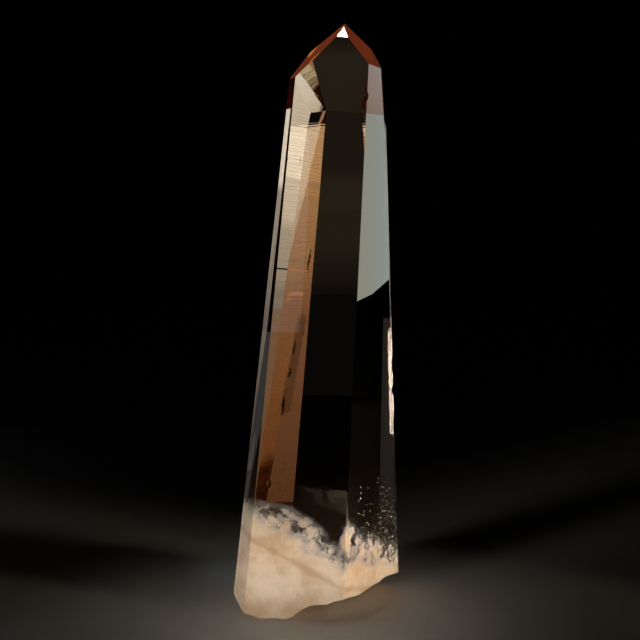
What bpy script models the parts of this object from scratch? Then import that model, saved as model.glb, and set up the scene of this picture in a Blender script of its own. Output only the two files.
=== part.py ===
"""Lemurian quartz point: one clear crystal that stands on its broken, milky foot.

Metres, +Z up, front towards -Y. The crystal is shaped in its own frame, with its long axis
on +Z and its middle at the origin, then leaned, stood up and broken off at the foot.
"""
import math
import random

import bmesh
import bpy
from mathutils import Matrix, Vector, noise

MM = 0.001

# How the crystal stands: where its middle is and how its long axis leans, in degrees.
MIDDLE = Vector((1.95, 0.17, 52.68)) * MM
TURN = -5.2
LEAN_RIGHT = 4.3
LEAN_BACK = 3.6

# The six prism faces in order round the axis: azimuth from the front, inward lean towards
# the tip (both in degrees), and distance of the face from the middle of the crystal.
PRISM_FACES = {
    "front": (0.0, -0.7, 7.65 * MM),
    "right": (60.5, 1.0, 8.45 * MM),
    "back_right": (119.0, 9.1, 11.15 * MM),
    "back": (180.0, 5.0, 8.45 * MM),
    "back_left": (240.0, 3.3, 7.65 * MM),
    "left": (300.0, 0.9, 11.95 * MM),
}

# The faces of the tip: azimuth, angle between the face's normal and the long axis, distance.
# Three big sloping faces, a tiny one in front, and the small bevels of the right shoulder.
TIP_FACES = {
    "slope_right": (60.0, 51.9, 33.70 * MM),
    "slope_back": (180.0, 54.3, 26.25 * MM),
    "slope_left": (300.0, 51.8, 34.75 * MM),
    "small_front": (0.5, 52.0, 36.70 * MM),
    "shoulder_high": (115.0, 62.6, 24.75 * MM),
    "shoulder_low": (119.0, 76.4, 13.80 * MM),
}

# Growth ledges across the faces, the rungs of the ladder: height above the middle and depth.
LEDGE_RISE = 0.16 * MM
LEDGES = {
    "back_left": (
        (33.9, 0.16), (29.6, 0.12), (26.8, 0.20), (23.0, 0.16), (17.5, 0.10), (12.4, 0.22),
        (10.2, 0.14), (6.4, 0.20), (3.1, 0.18), (-6.0, 0.14), (-13.5, 0.20), (-21.0, 0.12),
        (-28.5, 0.18), (-36.0, 0.14), (-41.0, 0.16),
    ),
    "back": (
        (31.4, 0.20), (24.6, 0.16), (20.2, 0.26), (14.1, 0.18), (8.3, 0.22), (0.9, 0.28),
        (-8.7, 0.18), (-16.2, 0.30), (-24.4, 0.22), (-31.9, 0.28), (-39.3, 0.20),
    ),
    "back_right": (
        (28.2, 0.18), (21.7, 0.24), (15.3, 0.30), (4.9, 0.35), (-1.3, 0.75), (-11.2, 0.35),
        (-18.8, 0.28), (-26.6, 0.32), (-34.1, 0.26), (-42.6, 0.30),
    ),
    "left": ((19.0, 0.10), (-10.4, 0.12), (-33.2, 0.14)),
    "right": ((11.6, 0.08), (-19.6, 0.12), (-37.4, 0.16)),
}
PRISM_TOP = 58.0 * MM
PRISM_BOTTOM = -62.0 * MM
LEAST_STOREY = 0.05 * MM

# The broken foot. Its front edge is a run of points: distance to the right, height.
FRONT_EDGE = (
    (-16.5, 4.6), (-15.0, 2.6), (-13.6, 1.1), (-12.0, 0.8), (-10.2, 0.0), (-7.8, 0.45),
    (-6.4, 0.0), (-4.8, 0.45), (-3.2, 1.9), (-1.4, 2.9), (1.8, 3.1), (3.0, 3.9),
    (4.8, 4.0), (7.4, 3.2), (9.8, 3.6), (11.5, 3.6), (12.5, 4.1), (15.1, 3.4), (18.0, 3.2),
)
FRONT_LINE = ((-17.0, -2.2), (-13.3, -9.1), (4.2, -10.7), (15.5, 5.4))
FALL_BEHIND_EDGE = 0.39
ROUGHNESS = 2.2 * MM
ROUGH_SCALE = 210.0
FLAT_SINK = 0.30 * MM
BREAK_STEP = 0.95 * MM
BREAK_HALF_WIDTH = 19.0 * MM
BREAK_HALF_DEPTH = 15.2 * MM
BREAK_BLOCK_FLOOR = -14.0 * MM

# Scoops that the break left round the hidden side: place, radius and rise.
SCOOPS = (
    ((1.5, 13.0), 5.5, 3.4),
    ((-14.5, 6.5), 4.5, 2.4),
    ((14.0, 12.0), 3.6, 1.9),
)

# Chips along the edges, in the crystal's own frame: the two faces that meet there, height
# above the middle, length along the edge and depth of the bite.
CHIPS = (
    ("front", "right", 39.3, 1.3, 0.30),
    ("left", "front", 27.6, 0.9, 0.22),
    ("right", "back_right", 5.6, 1.3, 0.35),
    ("right", "back_right", 3.5, 0.8, 0.30),
    ("right", "back_right", -6.4, 3.4, 0.42),
    ("right", "back_right", -12.1, 1.5, 0.60),
    ("right", "back_right", -17.6, 4.2, 0.40),
    ("right", "back_right", -34.6, 1.6, 0.36),
    ("back", "back_left", 35.4, 1.1, 0.30),
    ("back", "back_left", -19.4, 2.2, 0.45),
    ("back_left", "left", -30.5, 1.8, 0.35),
    ("back_right", "back", -4.2, 2.6, 0.50),
    ("back_right", "back", -37.0, 3.0, 0.55),
    ("front", "right", -45.5, 1.2, 0.30),
)
CHIP_SEED = 11

QUARTZ_COLOUR = (0.86, 0.74, 0.62, 1.0)
QUARTZ_ROUGHNESS = 0.03
QUARTZ_IOR = 1.544


def outward_normal(azimuth, polar):
    """Unit normal of a face from its azimuth and its angle to the long axis, in degrees."""
    turn = math.radians(azimuth)
    tilt = math.radians(polar)
    return Vector((math.sin(turn) * math.sin(tilt), -math.cos(turn) * math.sin(tilt), math.cos(tilt)))


def ledge_offset(name, height):
    """How far a face stands proud of its mean plane at a height, stepping in at each ledge."""
    ledges = LEDGES.get(name, ())
    total = sum(depth for _, depth in ledges) * MM
    offset = total * (height - PRISM_BOTTOM) / (PRISM_TOP - PRISM_BOTTOM)
    for ledge_height, depth in ledges:
        climb = (height - ledge_height * MM) / LEDGE_RISE
        offset -= depth * MM * min(max(climb, 0.0), 1.0)
    return offset


def face_distance(name, height):
    """Distance of a prism face from the long axis at a height."""
    _, lean, distance = PRISM_FACES[name]
    tilt = math.radians(lean)
    return (distance - height * math.sin(tilt)) / math.cos(tilt) + ledge_offset(name, height)


def corner(name_a, name_b, height):
    """Where two neighbouring prism faces meet at a height."""
    a = math.radians(PRISM_FACES[name_a][0])
    b = math.radians(PRISM_FACES[name_b][0])
    reach_a = face_distance(name_a, height)
    reach_b = face_distance(name_b, height)
    spread = math.sin(b - a)
    x = (reach_b * math.cos(a) - reach_a * math.cos(b)) / spread
    y = (reach_b * math.sin(a) - reach_a * math.sin(b)) / spread
    return Vector((x, y, height))


def storey_heights():
    """The heights at which the outline changes: below and above each ledge."""
    wanted = [PRISM_BOTTOM, PRISM_TOP]
    for ledges in LEDGES.values():
        for height, _ in ledges:
            wanted += [height * MM, height * MM + LEDGE_RISE]
    heights = []
    for height in sorted(wanted):
        if not heights or height - heights[-1] > LEAST_STOREY:
            heights.append(height)
    return heights


def stack_prism():
    """The six-sided prism with its ledges, as a closed stack of storeys."""
    mesh = bmesh.new()
    names = list(PRISM_FACES)
    rings = []
    for height in storey_heights():
        ring = []
        for side, name in enumerate(names):
            ring.append(mesh.verts.new(corner(name, names[(side + 1) % len(names)], height)))
        rings.append(ring)
    sides = len(names)
    for low, high in zip(rings, rings[1:]):
        for side in range(sides):
            after = (side + 1) % sides
            mesh.faces.new((low[side], low[after], high[after], high[side]))
    mesh.faces.new(reversed(rings[0]))
    mesh.faces.new(rings[-1])
    return mesh


def cut_tip(mesh):
    """Cleave the top of the prism along every face of the tip."""
    for azimuth, polar, distance in TIP_FACES.values():
        normal = outward_normal(azimuth, polar)
        everything = mesh.verts[:] + mesh.edges[:] + mesh.faces[:]
        cut = bmesh.ops.bisect_plane(
            mesh, geom=everything, dist=1e-8, plane_co=normal * distance,
            plane_no=normal, clear_outer=True,
        )
        rim = [part for part in cut["geom_cut"] if isinstance(part, bmesh.types.BMEdge)]
        bmesh.ops.edgeloop_fill(mesh, edges=rim)


def standing_pose():
    """From the crystal's own frame to where it stands."""
    lean = Matrix.Rotation(math.radians(-LEAN_BACK), 4, "X")
    lean = lean @ Matrix.Rotation(math.radians(LEAN_RIGHT), 4, "Y")
    lean = lean @ Matrix.Rotation(math.radians(TURN), 4, "Z")
    return Matrix.Translation(MIDDLE) @ lean


def new_object(name, mesh):
    """Put a bmesh into the scene as a named object."""
    data = bpy.data.meshes.new(name)
    bmesh.ops.recalc_face_normals(mesh, faces=mesh.faces[:])
    mesh.to_mesh(data)
    mesh.free()
    made = bpy.data.objects.new(name, data)
    bpy.context.scene.collection.objects.link(made)
    return made


def along(points, x):
    """Height of a run of points at x, in millimetres, straight between neighbours."""
    if x <= points[0][0]:
        return points[0][1]
    for (x0, y0), (x1, y1) in zip(points, points[1:]):
        if x <= x1:
            return y0 + (y1 - y0) * (x - x0) / (x1 - x0)
    return points[-1][1]


def break_height(x, y):
    """Height of the broken underside at a place on the floor."""
    behind = y - along(FRONT_LINE, x / MM) * MM
    front = along(FRONT_EDGE, x / MM) * MM - FALL_BEHIND_EDGE * max(behind, 0.0)
    rough = ROUGHNESS * noise.noise(Vector((x, y, 0.0)) * ROUGH_SCALE) - FLAT_SINK
    for (scoop_x, scoop_y), radius, rise in SCOOPS:
        reach = math.hypot(x / MM - scoop_x, y / MM - scoop_y) / radius
        rough = max(rough, rise * MM * (1.0 - reach * reach))
    return max(front, rough, 0.0)


def make_break_block():
    """A block whose top is the broken surface, to be taken away from the foot."""
    mesh = bmesh.new()
    columns = round(2 * BREAK_HALF_WIDTH / BREAK_STEP)
    rows = round(2 * BREAK_HALF_DEPTH / BREAK_STEP)
    grid = []
    for row in range(rows + 1):
        y = -BREAK_HALF_DEPTH + 2 * BREAK_HALF_DEPTH * row / rows
        line = []
        for column in range(columns + 1):
            x = -BREAK_HALF_WIDTH + 2 * BREAK_HALF_WIDTH * column / columns
            line.append(mesh.verts.new((x, y, break_height(x, y))))
        grid.append(line)
    top = []
    for near, far in zip(grid, grid[1:]):
        for column in range(columns):
            top.append(mesh.faces.new((near[column], near[column + 1], far[column + 1], far[column])))
    grown = bmesh.ops.extrude_face_region(mesh, geom=top)
    for part in grown["geom"]:
        if isinstance(part, bmesh.types.BMVert):
            part.co.z = BREAK_BLOCK_FLOOR
    return new_object("break_block", mesh)


def make_chip(index, chip, shake):
    """A lumpy lens that bites a conchoidal chip out of an edge."""
    name_a, name_b, height, length, depth = chip
    mesh = bmesh.new()
    bmesh.ops.create_icosphere(mesh, subdivisions=2, radius=1.0)
    bulk = 1.15
    for vert in mesh.verts:
        vert.co *= 1.0 + shake.uniform(-0.12, 0.12)
        vert.co = Vector((vert.co.x * bulk * MM, vert.co.y * bulk * MM, vert.co.z * length * MM))
    place = corner(name_a, name_b, height * MM)
    outward = Vector((place.x, place.y, 0.0)).normalized()
    middle = place + outward * (bulk - depth) * MM
    turn = math.atan2(outward.y, outward.x) + shake.uniform(-0.3, 0.3)
    bmesh.ops.transform(mesh, verts=mesh.verts, matrix=Matrix.Rotation(turn, 4, "Z"))
    bmesh.ops.translate(mesh, verts=mesh.verts, vec=middle)
    bmesh.ops.transform(mesh, verts=mesh.verts, matrix=standing_pose())
    return new_object(f"chip_{index:02d}", mesh)


def quartz_material():
    """Clear quartz with a warm tint."""
    material = bpy.data.materials.new("clear_quartz")
    material.use_nodes = True
    shader = material.node_tree.nodes["Principled BSDF"]
    shader.inputs["Base Color"].default_value = QUARTZ_COLOUR
    shader.inputs["Roughness"].default_value = QUARTZ_ROUGHNESS
    shader.inputs["Metallic"].default_value = 0.0
    shader.inputs["IOR"].default_value = QUARTZ_IOR
    shader.inputs["Transmission Weight"].default_value = 1.0
    return material


def cut_away(target, cutter):
    """Take a hidden cutter away from the crystal."""
    cutter.hide_render = True
    cutter.display_type = "WIRE"
    cut = target.modifiers.new(cutter.name, "BOOLEAN")
    cut.operation = "DIFFERENCE"
    cut.solver = "EXACT"
    cut.object = cutter


def build():
    """The whole crystal: prism, tip, broken foot and chipped edges."""
    mesh = stack_prism()
    cut_tip(mesh)
    bmesh.ops.transform(mesh, verts=mesh.verts, matrix=standing_pose())
    crystal = new_object("quartz_point", mesh)
    crystal.data.materials.append(quartz_material())
    cut_away(crystal, make_break_block())
    shake = random.Random(CHIP_SEED)
    for index, chip in enumerate(CHIPS):
        cut_away(crystal, make_chip(index, chip, shake))


for old in list(bpy.data.objects):
    bpy.data.objects.remove(old, do_unlink=True)
build()
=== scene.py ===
import math

import bmesh
import bpy
import numpy as np
from mathutils import Matrix, Vector


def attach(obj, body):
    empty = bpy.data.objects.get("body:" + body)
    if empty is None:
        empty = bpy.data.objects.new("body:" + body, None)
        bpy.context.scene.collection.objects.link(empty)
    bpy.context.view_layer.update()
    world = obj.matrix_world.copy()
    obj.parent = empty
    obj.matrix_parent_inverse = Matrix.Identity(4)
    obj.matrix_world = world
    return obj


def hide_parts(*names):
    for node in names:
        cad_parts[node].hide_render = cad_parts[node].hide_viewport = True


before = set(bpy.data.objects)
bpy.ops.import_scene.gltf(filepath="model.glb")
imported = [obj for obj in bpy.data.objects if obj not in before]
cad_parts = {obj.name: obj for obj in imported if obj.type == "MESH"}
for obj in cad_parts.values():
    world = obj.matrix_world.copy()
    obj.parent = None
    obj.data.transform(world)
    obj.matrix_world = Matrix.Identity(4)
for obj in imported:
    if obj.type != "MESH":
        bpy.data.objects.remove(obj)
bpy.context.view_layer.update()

MM = 0.001

# The crystal's shape, as in its solid: where its middle is and how its long axis leans.
MIDDLE = Vector((1.95, 0.17, 52.68)) * MM
TURN = -5.2
LEAN_RIGHT = 4.3
LEAN_BACK = 3.6

# Prism faces: azimuth and inward lean in degrees, distance from the middle.
PRISM_FACES = {
    "front": (0.0, -0.7, 7.65 * MM),
    "right": (60.5, 1.0, 8.45 * MM),
    "back_right": (119.0, 9.1, 11.15 * MM),
    "back": (180.0, 5.0, 8.45 * MM),
    "back_left": (240.0, 3.3, 7.65 * MM),
    "left": (300.0, 0.9, 11.95 * MM),
}
PRISM_TOP = 58.0 * MM
PRISM_BOTTOM = -56.0 * MM

# Tip faces: azimuth, angle between normal and long axis, distance.
TIP_FACES = {
    "slope_right": (60.0, 51.9, 33.70 * MM),
    "slope_back": (180.0, 54.3, 26.25 * MM),
    "slope_left": (300.0, 51.8, 34.75 * MM),
    "small_front": (0.5, 52.0, 36.70 * MM),
    "shoulder_high": (115.0, 62.6, 24.75 * MM),
    "shoulder_low": (119.0, 76.4, 13.80 * MM),
}

# Growth ledges. Two faces lean inward as a whole but are upright between their ledges.
# Strong ledges stand at named heights above the middle, in millimetres, and fine ones
# fill the space between them at random spacings. No fine ledge stands within a strong
# ledge's reach below it, so its step is wider. A rise is the height that a step takes.
STRONG_LEDGES = {
    "back_left": (33.9, 12.4, 10.2, 6.4, 3.1, -13.5, -28.5),
    "back_right": (28.2, 15.3, -1.3, -18.8, -34.1),
}
FINE_SPACING = {"back_left": (0.3, 0.7), "back_right": (0.35, 0.75)}
STRONG_REACH = {"back_left": 0.8 * MM, "back_right": 0.5 * MM}
STRONG_RISE = 0.035 * MM
FINE_RISE = 0.016 * MM

# Ledges wander up and down round the crystal, in waves: turns, length up the crystal in
# millimetres, share.
WANDER = 0.12 * MM
WANDER_WAVES = ((2, 9, 1.0), (5, 4, 0.5))

# Bands of slightly different tilt between the ledges: spacing in millimetres, tilt in
# degrees. Their slow drift is taken out as a curve of the drift's degree.
BAND_SPACING = (0.8, 3.4)
BAND_TILT = {"back_left": 0.30, "back_right": 0.20}
BAND_DRIFT = 3
BAND_SEED = 5

# Clearer bands in the upper part of one face: top, bottom, tilt.
CLEAR_BANDS = {
    "back_left": (
        (28.9, 27.1, 0.90), (27.1, 26.4, -0.60), (26.4, 24.8, 0.80), (24.8, 23.6, -0.30), (23.6, 22.3, 0.45),
    ),
}

# Mesh grid: columns across each face, plain rows up the prism, the least gap between two
# rows, rings under the foot, the level below which rows close up towards the break, and
# how far below the prism and in how many halvings each column's break is searched.
COLUMNS = 12
PLAIN_ROW = 1.5 * MM
LEAST_ROW = 0.006 * MM
FOOT_RINGS = 30
FOOT_BLEND_TOP = -38.0 * MM
BREAK_SEARCH_BELOW = 4 * MM
BREAK_SEARCH_STEPS = 30

# The broken foot. Its front edge is a run of points: distance to the right, height. The
# front line is the crystal's front outline on the floor: distance to the right, depth.
FRONT_EDGE = (
    (-16.5, 4.6), (-15.0, 2.6), (-13.6, 1.1), (-12.0, 0.8), (-10.2, 0.0), (-7.8, 0.45),
    (-6.4, 0.0), (-4.8, 0.45), (-3.2, 1.9), (-1.4, 2.9), (1.8, 3.1), (3.0, 3.9),
    (4.8, 4.0), (7.4, 3.2), (9.8, 3.6), (11.5, 3.6), (12.5, 4.1), (15.1, 3.4), (18.0, 3.2),
)
FRONT_LINE = ((-17.0, -2.2), (-13.3, -9.1), (4.2, -10.7), (15.5, 5.4))

# Behind its front edge the break falls to a rough underside: fall for each step back,
# lumps as width and height, and how far it is sunk before the ground cuts it level.
FALL_BEHIND_EDGE = 0.39
ROUGH_CELLS = ((4.2, 2.2), (1.1, 0.25))
ROUGH_SEED = 3
NOISE_CELLS = 64
FLAT_SINK = 0.30 * MM

# Hollows scooped out of the underside: place, radius, rise.
SCOOPS = (
    ((1.5, 13.0), 5.5, 3.4),
    ((-14.5, 6.5), 4.5, 2.4),
    ((14.0, 12.0), 3.6, 1.9),
)

# Chips along the edges: the two faces that meet there, height above the middle, length
# along the edge and depth of the bite, in millimetres. Each is bitten out by a lumpy lens.
CHIPS = (
    ("front", "right", 39.3, 1.3, 0.30),
    ("left", "front", 27.6, 0.5, 0.12),
    ("right", "back_right", -6.4, 3.4, 0.14),
    ("right", "back_right", -12.1, 1.3, 0.45),
    ("right", "back_right", -17.6, 4.2, 0.14),
    ("right", "back_right", -34.6, 1.6, 0.36),
    ("front", "right", -45.5, 1.2, 0.30),
)
CHIP_RADIUS = 1.15
CHIP_LUMPS = 0.02
CHIP_TURN = 0.3
CHIP_SEED = 11

# Where the milky zone begins behind the front faces: distance to the right, height. It
# begins lower towards the back.
MILK_TOP = (
    (-16.0, 23.5), (-13.2, 22.6), (-12.2, 21.6), (-10.7, 20.0), (-7.6, 18.4), (-5.0, 16.6),
    (-1.4, 14.4), (2.1, 11.8), (4.7, 10.6), (7.5, 11.6), (10.5, 9.0), (13.6, 6.7), (16.0, 6.0),
)
MILK_FALL = 0.30

# The milky zone's edge is moved by lumps and grain, in lumps a metre and millimetres, and
# it sets in over a span of depths. Full milk still lets a little light through.
LUMP_SCALE = 260.0
LUMP_SHIFT = 7.0
GRAIN_SCALE = 1500.0
GRAIN_SHIFT = 2.4
MILK_SPAN = (3.6, 7.6)
MILK_OPACITY = 0.86
MILK_ROUGHNESS = 0.25

# Above the milky zone stand thin veils with bright rims; this run is where they end.
VEIL_TOP = (
    (-16.0, 23.0), (-10.0, 21.8), (-8.0, 21.0), (-4.4, 20.6), (-2.0, 19.6), (0.1, 17.8), (1.5, 15.6),
    (3.8, 13.6), (4.3, 18.8), (6.0, 18.4), (6.8, 15.6), (8.5, 15.2), (10.5, 12.5), (13.6, 10.0), (16.0, 9.0),
)
VEIL_SHIFT = 3.0
VEIL_SPAN = (1.0, 4.5)
WISP_SCALE = 520.0
WISP_SPAN = (0.38, 0.62)
FOLD_SCALE = 330.0
RIM_WIDTH = 0.022
RIM_OPACITY = 0.75
RIM_GAP_SCALE = 300.0
RIM_GAP_SPAN = (0.46, 0.60)

# Small bright bubbles on the right face: cells a metre, the share of cells that hold one
# at the lower of two heights, falling to none at the upper, the soft edge of a bubble in
# its cell, and the distance to the right at which they set in.
BUBBLE_SCALE = 2100.0
BUBBLE_HEIGHTS = (7 * MM, 27 * MM)
BUBBLE_SHARE = 0.70
BUBBLE_SIZE = (0.16, 0.34)
BUBBLE_SIDE = (5.5 * MM, 8.5 * MM)

# A darker band across the milky zone falls to the right: height at the middle, fall for
# each step right, half height, soft edge, how much the lumps move it, strength.
BAND_HEIGHT = 8.2 * MM
BAND_FALL = 0.517
BAND_HALF = 1.0 * MM
BAND_SOFT = 1.3 * MM
BAND_SHIFT = 2.4 * MM
BAND_STRENGTH = 0.8

# The frosted stretch of the right edge: heights above the middle, fades at its lower and
# upper end, width on the right face, and how much narrower it is round the corner.
FROST_RANGE = (-22.0 * MM, 1.5 * MM)
FROST_FADES = (2 * MM, 4 * MM)
FROST_WIDTH = 1.1 * MM
FROST_CORNER = 0.1 * MM
FROST_NARROWER = 9.0
FROST_SPAN = (0.45, 0.85)
FROST_OPACITY = 0.5

# Colours of the milk and the clear quartz, and how strongly it absorbs, for each metre.
CREAM = (0.66, 0.47, 0.30)
PALE_CREAM = (0.86, 0.71, 0.53)
BAND_BROWN = (0.58, 0.38, 0.22)
CREAM_SCALE = 150.0
CREAM_SPAN = (0.38, 0.62)
CLEAR_TINT = (0.985, 0.53, 0.0)
ABSORPTION = 32.5
QUARTZ_IOR = 1.544

# The camera: level with the crystal's upper half, looking slightly down.
CAMERA_PLACE = Vector((0.335, -186.84, 72.27)) * MM
LOOK_DOWN = 6.0
LENS = 58.1
SENSOR = 36.0

# The floor and the number of times light may bounce, mirror or pass through.
FLOOR_SIZE = 2.0
FLOOR_COLOUR = (0.62, 0.60, 0.57)
FLOOR_ROUGHNESS = 0.9
FLOOR_SPECULAR = 0.1
BOUNCES = 24
MIRROR_BOUNCES = 16
CLEAR_BOUNCES = 20

# Every card stands upright, facing a point on the floor behind the crystal's front.
CARD_CENTRE = Vector((0.0, 4.0, 0.0))


def sheet(left, right, low, high):
    """Corners of a plain rectangle: distance to the right, height."""
    return ((left, low), (right, low), (right, high), (left, high))


# The bright line at the crystal's left edge is a narrow curved strip, with black beside it.
RIM = ((-1.3, 0), (-1.8, 13), (-2.35, 23), (-2.8, 34), (-3.1, 44), (-3.45, 53), (-5.0, 66), (-6.0, 90))
INNER_RIM = ((-2.6, 90), (-2.3, 73), (-1.9, 59), (-1.7, 50), (-1.4, 40), (-1.1, 30), (-0.9, 15), (-0.8, 0))
FLAG_WIDTH = 2.5
FLAG_EDGE = tuple((right - FLAG_WIDTH, height) for right, height in reversed(RIM))

# The right face shows this card as a grey panel with a slanting lower border.
PANEL = ((5, 0), (9, 36.5), (12, 38), (17, 40), (24, 45.5), (30, 54), (30, 120), (5, 120))

# Cards round the crystal: name, azimuth, distance, outline, colour, and glow at rising
# heights. Lengths are millimetres and azimuth 0 is straight behind.
CARDS = (
    ("left_card", -43, 200, PANEL, (0.80, 1.0, 1.07), ((0, 0.36), (60, 0.36), (120, 0.36))),
    (
        "far_left", -43, 200, sheet(-17, 5, 26, 112), (0.93, 1.0, 0.94),
        ((0, 0.19), (30, 0.21), (44, 0.31), (60, 0.35), (74, 0.38), (79, 0.50), (112, 0.53)),
    ),
    ("far_left_foot", -43, 200, sheet(-24, 5, 0, 26), (1.0, 0.92, 0.91), ((0, 0.36), (26, 0.36))),
    ("tip_left", -43, 150, sheet(-22, -4, 2, 38), (1.0, 0.92, 0.91), ((0, 0.36), (38, 0.36))),
    ("slope_left", -15, 200, sheet(-30, 30, 150, 240), (0.30, 0.062, 0.024), ((0, 1.0), (260, 1.0))),
    ("slope_right", 29, 200, sheet(-30, 30, 170, 260), (0.42, 0.085, 0.033), ((0, 1.0), (260, 1.0))),
    ("low_left", -43, 34, sheet(-18, 1, 0, 50), (1.0, 0.93, 0.85), ((0, 0.11), (21, 0.16), (50, 0.21))),
    (
        "right_card", 73, 400, sheet(-18, 12, 6, 134), (0.92, 0.98, 0.95),
        (
            (0, 0.17), (12, 0.19), (28, 0.345), (52, 0.40), (60, 0.62), (83, 0.68), (88, 0.95),
            (134, 1.15),
        ),
    ),
    (
        "low_right", 73, 55, ((-0.8, 0), (2.2, 0), (2.2, 48), (-1.5, 48)), (1.0, 0.78, 0.62),
        ((0, 0.10), (8, 0.114), (25, 0.16), (48, 0.18)),
    ),
    (
        "rim_card", 73, 55, RIM + INNER_RIM, (0.97, 1.0, 1.0),
        ((0, 0.06), (18, 0.07), (39, 0.18), (53, 0.35), (70, 0.42), (72, 1.05), (90, 1.05)),
    ),
    ("rim_flag", 73, 55, RIM + FLAG_EDGE, (0.0, 0.0, 0.0), ((0, 0.0), (90, 0.0))),
    (
        "warm_card", 119, 45, sheet(-18, 2, 0, 84), (1.0, 0.64, 0.45),
        ((0, 0.09), (8, 0.10), (28, 0.14), (45, 0.17), (57, 0.28), (84, 0.36)),
    ),
    (
        "front_card", -165, 400, ((-23, 50), (8, 50), (8, 160), (-27, 160), (-27, 120)),
        (0.95, 1.08, 1.15), ((0, 0.42), (90, 0.48), (104, 0.6), (160, 0.75)),
    ),
    (
        "back_card", -1, 100, sheet(-40, 40, 45, 100), (1.0, 0.85, 0.55),
        ((0, 0.002), (45, 0.002), (60, 0.015), (75, 0.015), (80, 0.007), (100, 0.006)),
    ),
)

# Wide dim cards that show through the crystal from the sides and the back: name, azimuth,
# distance, half width, glow.
WIDE_CARDS = (
    ("front_wide", 180, 600, 260, 0.05),
    ("left_wide", -95, 400, 140, 0.12),
    ("right_wide", 110, 400, 110, 0.12),
)
WIDE_HEIGHTS = (2, 260)
WIDE_COLOUR = (1.0, 0.90, 0.78)

# Glowing patches just above the floor, seen through the tip: name, corners, colour.
PATCH_HEIGHT = 1
PATCH_GLOW = ((0, 1.0), (10, 1.0))
PATCHES = (
    ("front_ground", ((-20, -44), (2, -44), (2, -20), (-20, -20)), (0.83, 1.13, 1.42)),
    ("back_ground", ((-24, 8), (-4, 5), (-4, 11), (-11, 15), (-16, 22), (-24, 22)), (0.62, 0.95, 1.15)),
)

# Soft panels: name, place, target, width, height, watts, colour, spread in degrees, and
# whether the crystal's faces mirror it.
PANELS = (
    ("edge_key", (130, -55, 45), (15, 2, 43), 30, 30, 0.008, (1.0, 0.86, 0.70), 14, False),
    ("left_key", (-120, -105, 8), (-5, 0, 9), 60, 10, 0.0028, (1.0, 0.94, 0.86), 16, False),
    ("right_key", (130, -55, 8), (4, 0, 14), 60, 10, 0.0062, (1.0, 0.86, 0.70), 16, False),
    ("pool", (0, 6, 300), (0, -16, 0), 30, 30, 0.0006, (1.0, 0.98, 0.95), 14, True),
)


def outward_normal(azimuth, polar):
    """Unit normal of a face from its azimuth and its angle to the long axis, in degrees."""
    turn = math.radians(azimuth)
    tilt = math.radians(polar)
    return Vector((math.sin(turn) * math.sin(tilt), -math.cos(turn) * math.sin(tilt), math.cos(tilt)))


def standing_pose():
    """From the crystal's own frame to where it stands."""
    lean = Matrix.Rotation(math.radians(-LEAN_BACK), 4, "X")
    lean = lean @ Matrix.Rotation(math.radians(LEAN_RIGHT), 4, "Y")
    lean = lean @ Matrix.Rotation(math.radians(TURN), 4, "Z")
    return Matrix.Translation(MIDDLE) @ lean


def ledge_heights(name, draw):
    """Heights of a face's ledges, fine and strong, and whether each is a strong one."""
    strong = [height * MM for height in STRONG_LEDGES[name]]
    low, high = FINE_SPACING[name]
    ledges = [(height, True) for height in strong]
    height = PRISM_BOTTOM
    while height < PRISM_TOP:
        height += draw.uniform(low, high) * MM
        if all(not -STRONG_REACH[name] < height - other < STRONG_RISE * 2 for other in strong):
            ledges.append((height, False))
    return sorted(ledges)


def band_offsets(name, draw, heights):
    """How far the bands of different tilt move a face out at some heights."""
    ends = [PRISM_BOTTOM]
    while ends[-1] < PRISM_TOP:
        ends.append(ends[-1] + draw.uniform(*BAND_SPACING) * MM)
    clear = CLEAR_BANDS.get(name, ())
    clear_ends = [height * MM for band in clear for height in band[:2]]
    ends = np.unique(np.concatenate([ends, clear_ends]))
    tilt = BAND_TILT[name] * draw.uniform(-1.0, 1.0, len(ends) - 1)
    middles = (ends[1:] + ends[:-1]) / 2
    for top, bottom, band_tilt in clear:
        tilt[(middles < top * MM) & (middles > bottom * MM)] = band_tilt
    offsets = np.concatenate([[0.0], np.cumsum(np.diff(ends) * np.tan(np.radians(tilt)))])
    offsets -= np.polyval(np.polyfit(ends, offsets, BAND_DRIFT), ends)
    return np.interp(heights, ends, offsets)


def relief_table(name, index):
    """Heights and offsets of the points between which a face's relief runs straight."""
    draw = np.random.default_rng(BAND_SEED + index)
    slope = math.tan(math.radians(PRISM_FACES[name][1]))
    heights = [PRISM_BOTTOM]
    offsets = [0.0]
    last = PRISM_BOTTOM
    for height, strong in ledge_heights(name, draw):
        half = (STRONG_RISE if strong else FINE_RISE) / 2
        heights += [height - half, height + half]
        offsets += [slope * (height - last), 0.0]
        last = height
    heights = np.array(heights)
    offsets = np.array(offsets)
    offsets -= offsets.mean()
    return heights, offsets + band_offsets(name, draw, heights)


RELIEF = {name: relief_table(name, i) for i, name in enumerate(PRISM_FACES) if name in STRONG_LEDGES}


def row_levels():
    """Levels of the mesh rows: plain ones and one at every bend of a face's relief."""
    levels = [np.arange(PRISM_BOTTOM, PRISM_TOP, PLAIN_ROW)]
    levels += [heights for heights, _ in RELIEF.values()]
    levels = np.sort(np.concatenate(levels))
    kept = [levels[0]]
    for level in levels[1:]:
        if level - kept[-1] > LEAST_ROW:
            kept.append(level)
    return np.array(kept)


def reach(name, level, height):
    """Distance of a prism face from the long axis, its relief at a level included."""
    _, lean, distance = PRISM_FACES[name]
    tilt = math.radians(lean)
    plain = (distance - height * math.sin(tilt)) / math.cos(tilt)
    if name in RELIEF:
        plain = plain + np.interp(level, *RELIEF[name])
    return plain


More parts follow.
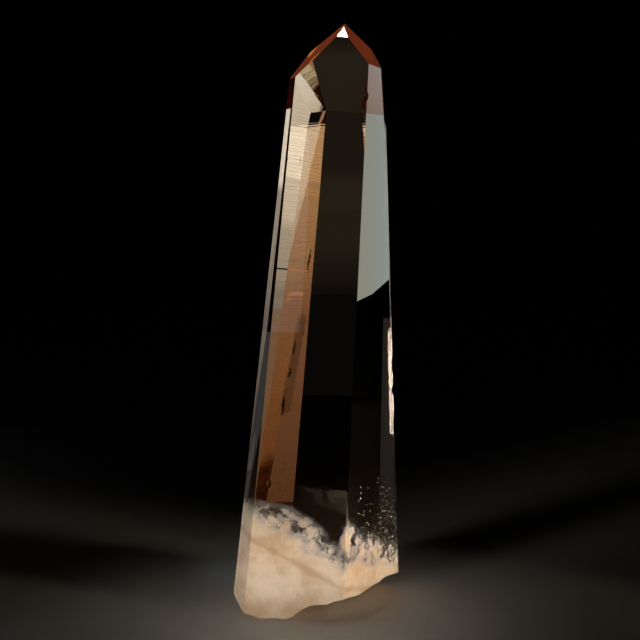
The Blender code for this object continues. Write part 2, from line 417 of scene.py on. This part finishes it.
def corner(name_a, name_b, level, height):
    """The corner between two neighbouring prism faces."""
    a = math.radians(PRISM_FACES[name_a][0])
    b = math.radians(PRISM_FACES[name_b][0])
    reach_a = reach(name_a, level, height)
    reach_b = reach(name_b, level, height)
    spread = math.sin(b - a)
    x = (reach_b * math.cos(a) - reach_a * math.cos(b)) / spread
    y = (reach_b * math.sin(a) - reach_a * math.sin(b)) / spread
    return np.stack([x, y, height], axis=-1)


def along(points, x):
    """Height of a run of points at x, straight between neighbours."""
    return np.interp(x, [p[0] for p in points], [p[1] for p in points])


def smooth_noise(x, y, seed):
    """A repeatable smooth noise over the plane, from -0.5 to 0.5, of unit cells."""
    size = NOISE_CELLS
    values = np.random.default_rng(seed).uniform(-0.5, 0.5, (size, size))
    column = np.floor(x).astype(int)
    row = np.floor(y).astype(int)
    right = x - column
    up = y - row
    right = right * right * (3 - 2 * right)
    up = up * up * (3 - 2 * up)
    low = values[row % size, column % size] * (1 - right) + values[row % size, (column + 1) % size] * right
    row = row + 1
    high = values[row % size, column % size] * (1 - right) + values[row % size, (column + 1) % size] * right
    return low * (1 - up) + high * up


def behind_front(x, y):
    """How far a place is behind the crystal's front outline on the floor."""
    return y - along(FRONT_LINE, x / MM) * MM


def break_height(x, y):
    """Height of the broken underside at places on the floor."""
    front = along(FRONT_EDGE, x / MM) * MM - FALL_BEHIND_EDGE * np.maximum(behind_front(x, y), 0.0)
    rough = -FLAT_SINK
    for seed, (cell, height) in enumerate(ROUGH_CELLS):
        rough = rough + height * MM * smooth_noise(x / (cell * MM), y / (cell * MM), ROUGH_SEED + seed)
    for (scoop_x, scoop_y), radius, rise in SCOOPS:
        away = np.hypot(x / MM - scoop_x, y / MM - scoop_y) / radius
        rough = np.maximum(rough, rise * MM * (1.0 - away * away))
    return np.maximum(np.maximum(front, rough), 0.0)


def column_points(side, step, levels):
    """One column of the prism, in standing place, from the break up past the tip."""
    names = list(PRISM_FACES)
    before, name, after = names[side - 1], names[side], names[(side + 1) % len(names)]
    pose = np.array(standing_pose())

    def place(level, height):
        left = corner(before, name, level, height)
        right = corner(name, after, level, height)
        spot = left + (right - left) * (step / COLUMNS)
        return spot @ pose[:3, :3].T + pose[:3, 3]

    low, high = PRISM_BOTTOM - BREAK_SEARCH_BELOW, FOOT_BLEND_TOP
    for _ in range(BREAK_SEARCH_STEPS):
        middle = 0.5 * (low + high)
        x, y, z = place(levels[:1], np.array([middle]))[0]
        if z > break_height(x, y):
            high = middle
        else:
            low = middle
    share = np.clip((levels - PRISM_BOTTOM) / (FOOT_BLEND_TOP - PRISM_BOTTOM), 0.0, 1.0)
    heights = np.where(share < 1.0, high + (FOOT_BLEND_TOP - high) * share, levels)
    angle = 2 * math.pi * (side + step / COLUMNS) / len(names)
    wave = sum(part * np.sin(turns * angle + levels / (length * MM)) for turns, length, part in WANDER_WAVES)
    return place(levels, heights + WANDER * wave * share)


def foot_rings(points, faces, rim, inner):
    """Close the foot from its rim, whose points' numbers are given, to the middle."""
    count = len(rim)
    centre = rim.mean(axis=0)
    for ring in range(1, FOOT_RINGS):
        ring_points = centre + (rim - centre) * (1.0 - ring / FOOT_RINGS)
        ring_points[:, 2] = break_height(ring_points[:, 0], ring_points[:, 1])
        start = len(points)
        points.extend(ring_points)
        for column in range(count):
            after = (column + 1) % count
            faces.append((inner[column], start + column, start + after, inner[after]))
        inner = [start + column for column in range(count)]
    points.append(np.array([centre[0], centre[1], break_height(centre[0], centre[1])]))
    for column in range(count):
        faces.append((inner[column], len(points) - 1, inner[(column + 1) % count]))


def grid_mesh():
    """The closed mesh of prism and foot, in standing place, its top still uncut."""
    levels = row_levels()
    rows = len(levels)
    columns = [
        column_points(side, step, levels) for side in range(len(PRISM_FACES)) for step in range(COLUMNS)
    ]
    columns = np.stack(columns)
    count = len(columns)
    points = list(columns.reshape(-1, 3))
    faces = []
    for column in range(count):
        after = (column + 1) % count
        for row in range(rows - 1):
            a = column * rows + row
            b = after * rows + row
            faces.append((a, b, b + 1, a + 1))
    foot_rings(points, faces, columns[:, 0], [column * rows for column in range(count)])
    faces.append(tuple(column * rows + rows - 1 for column in range(count)))
    mesh = bmesh.new()
    verts = [mesh.verts.new(point) for point in points]
    for face in faces:
        mesh.faces.new([verts[i] for i in face])
    return mesh


def cut_tip(mesh):
    """Cleave the top of the prism along every face of the tip."""
    pose = standing_pose()
    for azimuth, polar, distance in TIP_FACES.values():
        normal = outward_normal(azimuth, polar)
        everything = mesh.verts[:] + mesh.edges[:] + mesh.faces[:]
        cut = bmesh.ops.bisect_plane(
            mesh, geom=everything, dist=1e-8, plane_co=pose @ (normal * distance),
            plane_no=pose.to_3x3() @ normal, clear_outer=True,
        )
        rim = [part for part in cut["geom_cut"] if isinstance(part, bmesh.types.BMEdge)]
        bmesh.ops.edgeloop_fill(mesh, edges=rim)


def new_object(name, mesh):
    """Put a bmesh into the scene as a named object."""
    data = bpy.data.meshes.new(name)
    bmesh.ops.recalc_face_normals(mesh, faces=mesh.faces[:])
    mesh.to_mesh(data)
    mesh.free()
    made = bpy.data.objects.new(name, data)
    bpy.context.scene.collection.objects.link(made)
    return made


def chip_cutter():
    """All the chips along the edges, as one object of lumpy lenses."""
    draw = np.random.default_rng(CHIP_SEED)
    whole = bmesh.new()
    for name_a, name_b, height, length, depth in CHIPS:
        mesh = bmesh.new()
        bmesh.ops.create_icosphere(mesh, subdivisions=3, radius=1.0)
        for vert in mesh.verts:
            vert.co *= 1.0 + draw.uniform(-CHIP_LUMPS, CHIP_LUMPS)
            across = vert.co.xy * CHIP_RADIUS * MM
            vert.co = Vector((across.x, across.y, vert.co.z * length * MM))
        level = np.array([height * MM])
        place = Vector(corner(name_a, name_b, level, level)[0])
        outward = Vector((place.x, place.y, 0.0)).normalized()
        turn = math.atan2(outward.y, outward.x) + draw.uniform(-CHIP_TURN, CHIP_TURN)
        bmesh.ops.transform(mesh, verts=mesh.verts, matrix=Matrix.Rotation(turn, 4, "Z"))
        bmesh.ops.translate(mesh, verts=mesh.verts, vec=place + outward * (CHIP_RADIUS - depth) * MM)
        bmesh.ops.transform(mesh, verts=mesh.verts, matrix=standing_pose())
        data = bpy.data.meshes.new("chip")
        mesh.to_mesh(data)
        mesh.free()
        whole.from_mesh(data)
        bpy.data.meshes.remove(data)
    return new_object("chips", whole)


def depth_below(line, points):
    """How far each point is below a run of heights, in millimetres."""
    x, y, z = points.T
    fall = MILK_FALL * np.maximum(behind_front(x, y), 0.0) / MM
    return along(line, x / MM) - fall - z / MM


def frost(points):
    """How frosted each point is: 1 at the worn right edge, fading across the right face."""
    inverse = np.array(standing_pose().inverted())
    own = points @ inverse[:3, :3].T + inverse[:3, 3]
    edge = corner("right", "back_right", own[:, 2], own[:, 2])
    away = np.hypot(own[:, 0] - edge[:, 0], own[:, 1] - edge[:, 1])
    away = np.where(own[:, 1] > edge[:, 1] + FROST_CORNER, FROST_NARROWER * away, away)
    low, high = FROST_RANGE
    low_fade, high_fade = FROST_FADES
    inside = np.clip((own[:, 2] - low) / low_fade, 0, 1) * np.clip((high - own[:, 2]) / high_fade, 0, 1)
    return np.clip(2.0 - away / FROST_WIDTH, 0.0, 1.0) * inside


def store(mesh, name, values):
    """Keep one number a vertex in a named attribute."""
    mesh.attributes.new(name, "FLOAT", "POINT").data.foreach_set("value", values)


def crystal():
    """The whole visible crystal, in place of its plain solid."""
    mesh = grid_mesh()
    cut_tip(mesh)
    made = new_object("crystal", mesh)
    cutter = chip_cutter()
    cut = made.modifiers.new("chips", "BOOLEAN")
    cut.operation = "DIFFERENCE"
    cut.solver = "EXACT"
    cut.object = cutter
    graph = bpy.context.evaluated_depsgraph_get()
    final = bpy.data.meshes.new_from_object(made.evaluated_get(graph))
    made.modifiers.clear()
    made.data = final
    bpy.data.objects.remove(cutter)
    points = np.empty(len(final.vertices) * 3)
    final.vertices.foreach_get("co", points)
    points = points.reshape(-1, 3)
    store(final, "milk", depth_below(MILK_TOP, points))
    store(final, "veil", depth_below(VEIL_TOP, points))
    store(final, "frost", frost(points))
    final.materials.clear()
    final.materials.append(clear_quartz())
    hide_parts("quartz_point")
    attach(made, "root")


def node(tree, kind, **values):
    """A shader node with the values of its inputs, by name."""
    made = tree.nodes.new(kind)
    for name, value in values.items():
        made.inputs[name.replace("_", " ")].default_value = value
    return made


def math_node(tree, operation, first, second):
    """A math node of two links or numbers."""
    made = tree.nodes.new("ShaderNodeMath")
    made.operation = operation
    for socket, value in zip(made.inputs, (first, second)):
        if isinstance(value, (int, float)):
            socket.default_value = value
        else:
            tree.links.new(value, socket)
    return made.outputs[0]


def span(tree, value, low, high, out_low=0.0, out_high=1.0):
    """A smooth rise of a value between two limits."""
    made = tree.nodes.new("ShaderNodeMapRange")
    made.interpolation_type = "SMOOTHSTEP"
    for name, number in zip(("From Min", "From Max", "To Min", "To Max"), (low, high, out_low, out_high)):
        made.inputs[name].default_value = number
    tree.links.new(value, made.inputs["Value"])
    return made.outputs["Result"]


def noise(tree, place, scale, detail, roughness=0.55):
    """Cloud noise at a scale given in lumps a metre."""
    made = node(tree, "ShaderNodeTexNoise", Scale=scale, Detail=detail, Roughness=roughness)
    tree.links.new(place, made.inputs["Vector"])
    return made.outputs["Fac"]


def attribute(tree, name):
    """A number that is stored at the vertices."""
    made = tree.nodes.new("ShaderNodeAttribute")
    made.attribute_name = name
    return made.outputs["Fac"]


def shifted(tree, value, by, amount):
    """A value plus a share of another."""
    return math_node(tree, "ADD", value, math_node(tree, "MULTIPLY", by, amount))


def mix_colours(tree, share, first, second):
    """A blend of two colours or links by a share."""
    made = tree.nodes.new("ShaderNodeMix")
    made.data_type = "RGBA"
    tree.links.new(share, made.inputs["Factor"])
    for socket, value in zip((made.inputs[6], made.inputs[7]), (first, second)):
        if isinstance(value, tuple):
            socket.default_value = (*value, 1.0)
        else:
            tree.links.new(value, socket)
    return made.outputs[2]


def veils(tree, place, lumps):
    """Thin wispy veils above the milky zone, with a few bright rims."""
    wisps = span(tree, noise(tree, place, WISP_SCALE, 7.0, 0.72), *WISP_SPAN)
    folds = math_node(tree, "SUBTRACT", noise(tree, place, FOLD_SCALE, 1.5, 0.4), 0.5)
    rims = span(tree, math_node(tree, "ABSOLUTE", folds, 0.0), 0.0, RIM_WIDTH, RIM_OPACITY, 0.0)
    gaps = span(tree, noise(tree, place, RIM_GAP_SCALE, 2.0), *RIM_GAP_SPAN)
    rims = math_node(tree, "MULTIPLY", rims, gaps)
    depth = shifted(tree, attribute(tree, "veil"), lumps, VEIL_SHIFT)
    shown = span(tree, depth, *VEIL_SPAN)
    return math_node(tree, "MULTIPLY", math_node(tree, "MAXIMUM", wisps, rims), shown)


def bubbles(tree, place, spot):
    """Scattered bright bubbles on the right face, denser towards the foot."""
    dots = node(tree, "ShaderNodeTexVoronoi", Scale=BUBBLE_SCALE)
    tree.links.new(place, dots.inputs["Vector"])
    chance = node(tree, "ShaderNodeSeparateColor")
    tree.links.new(dots.outputs["Color"], chance.inputs[0])
    wanted = span(tree, spot.outputs["Z"], *BUBBLE_HEIGHTS, BUBBLE_SHARE, 0.0)
    picked = math_node(tree, "LESS_THAN", chance.outputs[0], wanted)
    dot = span(tree, dots.outputs["Distance"], *BUBBLE_SIZE, 1.0, 0.0)
    face = span(tree, spot.outputs["X"], *BUBBLE_SIDE)
    return math_node(tree, "MULTIPLY", math_node(tree, "MULTIPLY", picked, dot), face)


def milky_colour(tree, place, spot, lumps):
    """Cream with paler clouds, browner along a slanting band."""
    level = shifted(tree, spot.outputs["Z"], spot.outputs["X"], BAND_FALL)
    away = math_node(tree, "ABSOLUTE", math_node(tree, "SUBTRACT", level, BAND_HEIGHT), 0.0)
    away = shifted(tree, away, lumps, BAND_SHIFT)
    band = span(tree, away, BAND_HALF, BAND_HALF + BAND_SOFT, BAND_STRENGTH, 0.0)
    clouds = span(tree, noise(tree, place, CREAM_SCALE, 5.0, 0.62), *CREAM_SPAN)
    cream = mix_colours(tree, clouds, CREAM, PALE_CREAM)
    return mix_colours(tree, band, cream, BAND_BROWN)


def clear_quartz():
    """See-through quartz with a warm tint, milky towards the foot, worn on one edge."""
    material = bpy.data.materials.new("clear_quartz")
    material.use_nodes = True
    tree = material.node_tree
    shader = tree.nodes["Principled BSDF"]
    shader.inputs["IOR"].default_value = QUARTZ_IOR
    place = tree.nodes.new("ShaderNodeTexCoord").outputs["Object"]
    spot = tree.nodes.new("ShaderNodeSeparateXYZ")
    tree.links.new(place, spot.inputs[0])
    lumps = noise(tree, place, LUMP_SCALE, 4.0)
    grain = noise(tree, place, GRAIN_SCALE, 3.0, 0.7)
    depth = shifted(tree, attribute(tree, "milk"), lumps, LUMP_SHIFT)
    depth = shifted(tree, depth, grain, GRAIN_SHIFT)
    worn = math_node(tree, "ADD", attribute(tree, "frost"), math_node(tree, "SUBTRACT", grain, 0.5))
    worn = span(tree, worn, *FROST_SPAN, 0.0, FROST_OPACITY)
    cloud = math_node(tree, "MAXIMUM", span(tree, depth, *MILK_SPAN), worn)
    cloud = math_node(tree, "MAXIMUM", cloud, veils(tree, place, lumps))
    cloud = math_node(tree, "MAXIMUM", cloud, bubbles(tree, place, spot))
    clear = math_node(tree, "SUBTRACT", 1.0, math_node(tree, "MULTIPLY", cloud, MILK_OPACITY))
    tree.links.new(clear, shader.inputs["Transmission Weight"])
    tree.links.new(math_node(tree, "MULTIPLY", cloud, MILK_ROUGHNESS), shader.inputs["Roughness"])
    cream = milky_colour(tree, place, spot, lumps)
    tree.links.new(mix_colours(tree, cloud, (1.0, 1.0, 1.0), cream), shader.inputs["Base Color"])
    volume = node(tree, "ShaderNodeVolumeAbsorption", Color=(*CLEAR_TINT, 1.0), Density=ABSORPTION)
    tree.links.new(volume.outputs[0], tree.nodes["Material Output"].inputs["Volume"])
    return material


def camera():
    """The photograph's viewing angle."""
    data = bpy.data.cameras.new("camera")
    data.lens = LENS
    data.sensor_width = SENSOR
    data.clip_start = 1 * MM
    data.clip_end = 50.0
    made = bpy.data.objects.new("camera", data)
    made.location = CAMERA_PLACE
    made.rotation_euler = (math.radians(90.0 - LOOK_DOWN), 0.0, 0.0)
    bpy.context.scene.collection.objects.link(made)
    bpy.context.scene.camera = made


def area_light(name, place, target, width, height, power, colour, spread, mirrored):
    """A soft panel that isn't seen directly or through the crystal."""
    data = bpy.data.lights.new(name, "AREA")
    data.shape = "RECTANGLE"
    data.size = width * MM
    data.size_y = height * MM
    data.energy = power
    data.color = colour
    data.spread = math.radians(spread)
    made = bpy.data.objects.new(name, data)
    made.location = Vector(place) * MM
    aim = (Vector(target) - Vector(place)).normalized()
    made.rotation_euler = aim.to_track_quat("-Z", "Y").to_euler()
    made.visible_camera = False
    made.visible_transmission = False
    made.visible_glossy = mirrored
    bpy.context.scene.collection.objects.link(made)


def glow_material(name, colour, glow):
    """Plain glow of one colour whose strength follows the height, in millimetres."""
    material = bpy.data.materials.new(name)
    material.use_nodes = True
    tree = material.node_tree
    tree.nodes.clear()
    place = node(tree, "ShaderNodeSeparateXYZ")
    tree.links.new(tree.nodes.new("ShaderNodeTexCoord").outputs["Object"], place.inputs[0])
    ramp = tree.nodes.new("ShaderNodeFloatCurve")
    top = glow[-1][0]
    curve = ramp.mapping.curves[0]
    curve.points[0].location = (0.0, glow[0][1])
    curve.points[1].location = (1.0, glow[-1][1])
    for height, strength in glow[1:-1]:
        curve.points.new(height / top, strength)
    for point in curve.points:
        point.handle_type = "VECTOR"
    ramp.mapping.clip_max_y = 4.0
    ramp.mapping.update()
    tree.links.new(math_node(tree, "DIVIDE", place.outputs["Z"], top * MM), ramp.inputs["Value"])
    emission = node(tree, "ShaderNodeEmission", Color=(*colour, 1.0))
    tree.links.new(ramp.outputs[0], emission.inputs["Strength"])
    output = tree.nodes.new("ShaderNodeOutputMaterial")
    tree.links.new(emission.outputs[0], output.inputs["Surface"])
    return material


def stage_card(name, corners, colour, glow):
    """A glowing card that only shows through the crystal or mirrored in it."""
    mesh = bmesh.new()
    mesh.faces.new([mesh.verts.new(Vector(corner) * MM) for corner in corners])
    bmesh.ops.triangulate(mesh, faces=mesh.faces[:])
    made = new_object(name, mesh)
    made.data.materials.append(glow_material(name, colour, glow))
    made.visible_camera = False
    made.visible_diffuse = False
    made.visible_shadow = False


def card(name, azimuth, distance, outline, colour, glow):
    """An upright card facing the crystal: outline in millimetres, glow by height."""
    turn = math.radians(azimuth)
    away = Vector((math.sin(turn), math.cos(turn), 0.0))
    right = Vector((math.cos(turn), -math.sin(turn), 0.0))
    base = CARD_CENTRE + away * distance
    stage_card(name, [base + right * u + Vector((0, 0, z)) for u, z in outline], colour, glow)


def dark_world():
    """No light but the cards and panels."""
    world = bpy.data.worlds.new("world")
    world.use_nodes = True
    world.node_tree.nodes["Background"].inputs["Color"].default_value = (0.0, 0.0, 0.0, 1.0)
    bpy.context.scene.world = world


def pale_floor():
    """The plain floor that the crystal stands on."""
    mesh = bmesh.new()
    bmesh.ops.create_grid(mesh, x_segments=1, y_segments=1, size=FLOOR_SIZE)
    made = new_object("floor", mesh)
    material = bpy.data.materials.new("floor")
    material.use_nodes = True
    shader = material.node_tree.nodes["Principled BSDF"]
    shader.inputs["Base Color"].default_value = (*FLOOR_COLOUR, 1.0)
    shader.inputs["Roughness"].default_value = FLOOR_ROUGHNESS
    shader.inputs["Specular IOR Level"].default_value = FLOOR_SPECULAR
    made.data.materials.append(material)


def lights():
    """All the cards, patches and soft panels."""
    for values in CARDS:
        card(*values)
    low, high = WIDE_HEIGHTS
    for name, azimuth, distance, half, glow in WIDE_CARDS:
        outline = sheet(-half, half, low, high)
        card(name, azimuth, distance, outline, WIDE_COLOUR, ((0, glow), (high, glow)))
    for name, corners, colour in PATCHES:
        stage_card(name, [(x, y, PATCH_HEIGHT) for x, y in corners], colour, PATCH_GLOW)
    for values in PANELS:
        area_light(*values)


camera()
dark_world()
pale_floor()
lights()
crystal()
scene = bpy.context.scene
scene.view_settings.view_transform = "Standard"
scene.cycles.max_bounces = BOUNCES
scene.cycles.glossy_bounces = MIRROR_BOUNCES
scene.cycles.transmission_bounces = CLEAR_BOUNCES
